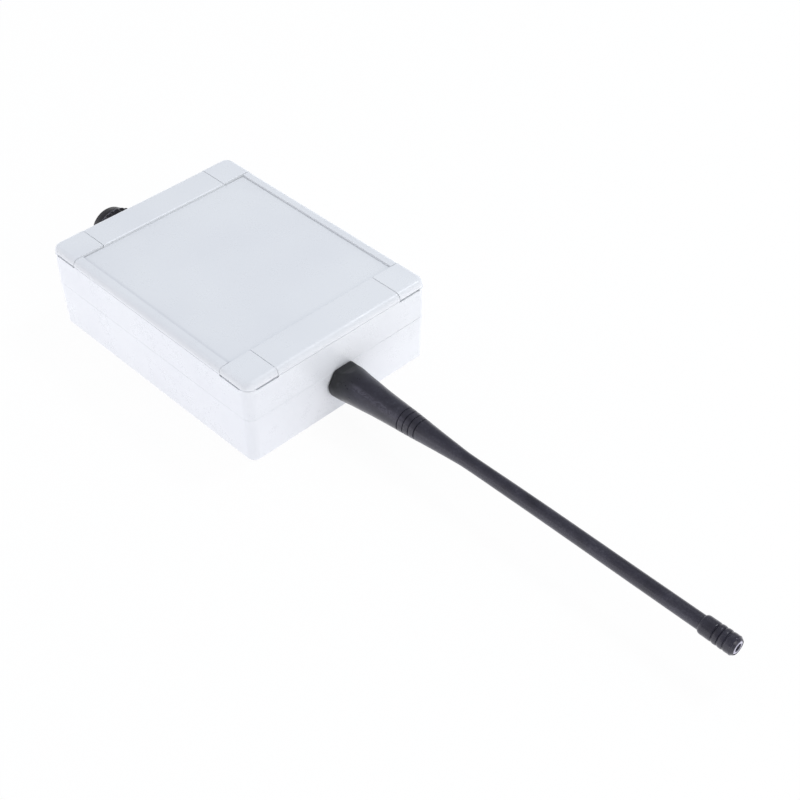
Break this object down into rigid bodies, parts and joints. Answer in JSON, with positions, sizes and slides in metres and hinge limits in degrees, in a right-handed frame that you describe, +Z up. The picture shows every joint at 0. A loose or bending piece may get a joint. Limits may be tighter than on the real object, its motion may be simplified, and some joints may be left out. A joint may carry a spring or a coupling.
{
  "type": "radio transmitter",
  "caption": "Wired radio transmitter: flat plastic case with recessed lid and pull-off corner covers, rubber whip antenna at one end, cable gland at the other.",
  "frame": {"origin": "centre of the case's underside, the face it rests on", "axes": "+X along the antenna, away from the case; +Z up through the lid; +Y to the left of the antenna seen from the cable gland"},
  "size_m": [0.2897, 0.08, 0.0336],
  "materials": {
    "case_plastic": "fine moulded grain, light grey ABS",
    "cover_plastic": "fine moulded grain, light grey ABS",
    "seal_rubber": "soft foam rubber",
    "screw_steel": "zinc plated",
    "brass": "turned",
    "antenna_rubber": "satin moulded rubber",
    "liner_plastic": "moulded, off-white polyethylene",
    "tinned_copper": "tinned wire",
    "gland_nylon": "black polyamide",
    "board_laminate": "green solder mask",
    "terminal_plastic": "green polyamide",
    "tinned_steel": "tinned sheet",
    "chip_plastic": "moulded epoxy",
    "capacitor_can": "shrink sleeve over an aluminium can",
    "button_plastic": "moulded",
    "led_lens": "tinted clear lens"
  },
  "bodies": {
    "base": {"base_shell": "case_plastic", "lid_seal": "seal_rubber", "screw_inserts": "brass", "antenna_socket": "brass", "antenna_lock_washer": "screw_steel", "antenna_socket_nut": "brass", "feed_wire": "tinned_copper", "gland_body": "gland_nylon", "gland_washer": "seal_rubber", "gland_locknut": "gland_nylon", "gland_seal": "seal_rubber", "gland_claw": "gland_nylon", "circuit_board": "board_laminate", "board_screws": "screw_steel", "terminal_block": "terminal_plastic", "terminal_screws": "screw_steel", "rf_module": "board_laminate", "rf_shield": "tinned_steel", "controller_chip": "chip_plastic", "crystal": "tinned_steel", "capacitors": "capacitor_can", "voltage_regulator": "chip_plastic", "pairing_switch": "chip_plastic", "status_led": "led_lens"},
    "lid": {"lid": "case_plastic", "lid_screws": "screw_steel"},
    "antenna": {"antenna_sleeve": "antenna_rubber", "antenna_tip_cap": "antenna_rubber", "antenna_tip_liner": "liner_plastic", "antenna_radiator": "screw_steel", "antenna_stud": "brass"},
    "gland_nut": {"gland_dome_nut": "gland_nylon"},
    "button": {"pairing_button": "button_plastic"},
    "cover_front_right": {"corner_cover_front_right": "cover_plastic"},
    "cover_front_left": {"corner_cover_front_left": "cover_plastic"},
    "cover_rear_right": {"corner_cover_rear_right": "cover_plastic"},
    "cover_rear_left": {"corner_cover_rear_left": "cover_plastic"}
  },
  "joints": [
    {"name": "lid_lift", "type": "slide", "parent": "base", "child": "lid", "axis": [0, 0, 1], "range_m": [0, 0.06]},
    {"name": "cover_front_right_pull", "type": "slide", "parent": "lid", "child": "cover_front_right", "axis": [0, 0, 1], "range_m": [0, 0.015]},
    {"name": "cover_front_left_pull", "type": "slide", "parent": "lid", "child": "cover_front_left", "axis": [0, 0, 1], "range_m": [0, 0.015]},
    {"name": "cover_rear_right_pull", "type": "slide", "parent": "lid", "child": "cover_rear_right", "axis": [0, 0, 1], "range_m": [0, 0.015]},
    {"name": "cover_rear_left_pull", "type": "slide", "parent": "lid", "child": "cover_rear_left", "axis": [0, 0, 1], "range_m": [0, 0.015]},
    {"name": "antenna_turn", "type": "hinge", "parent": "base", "child": "antenna", "pos_m": [0.053, 0, 0.0132], "axis": [1, 0, 0], "continuous": true},
    {"name": "gland_nut_turn", "type": "hinge", "parent": "base", "child": "gland_nut", "pos_m": [-0.053, -0.0018, 0.0112], "axis": [-1, 0, 0], "continuous": true},
    {"name": "button_press", "type": "slide", "parent": "base", "child": "button", "axis": [0, 0, -1], "range_m": [0, 0.0004], "stiffness_N_per_m": 500}
  ]
}
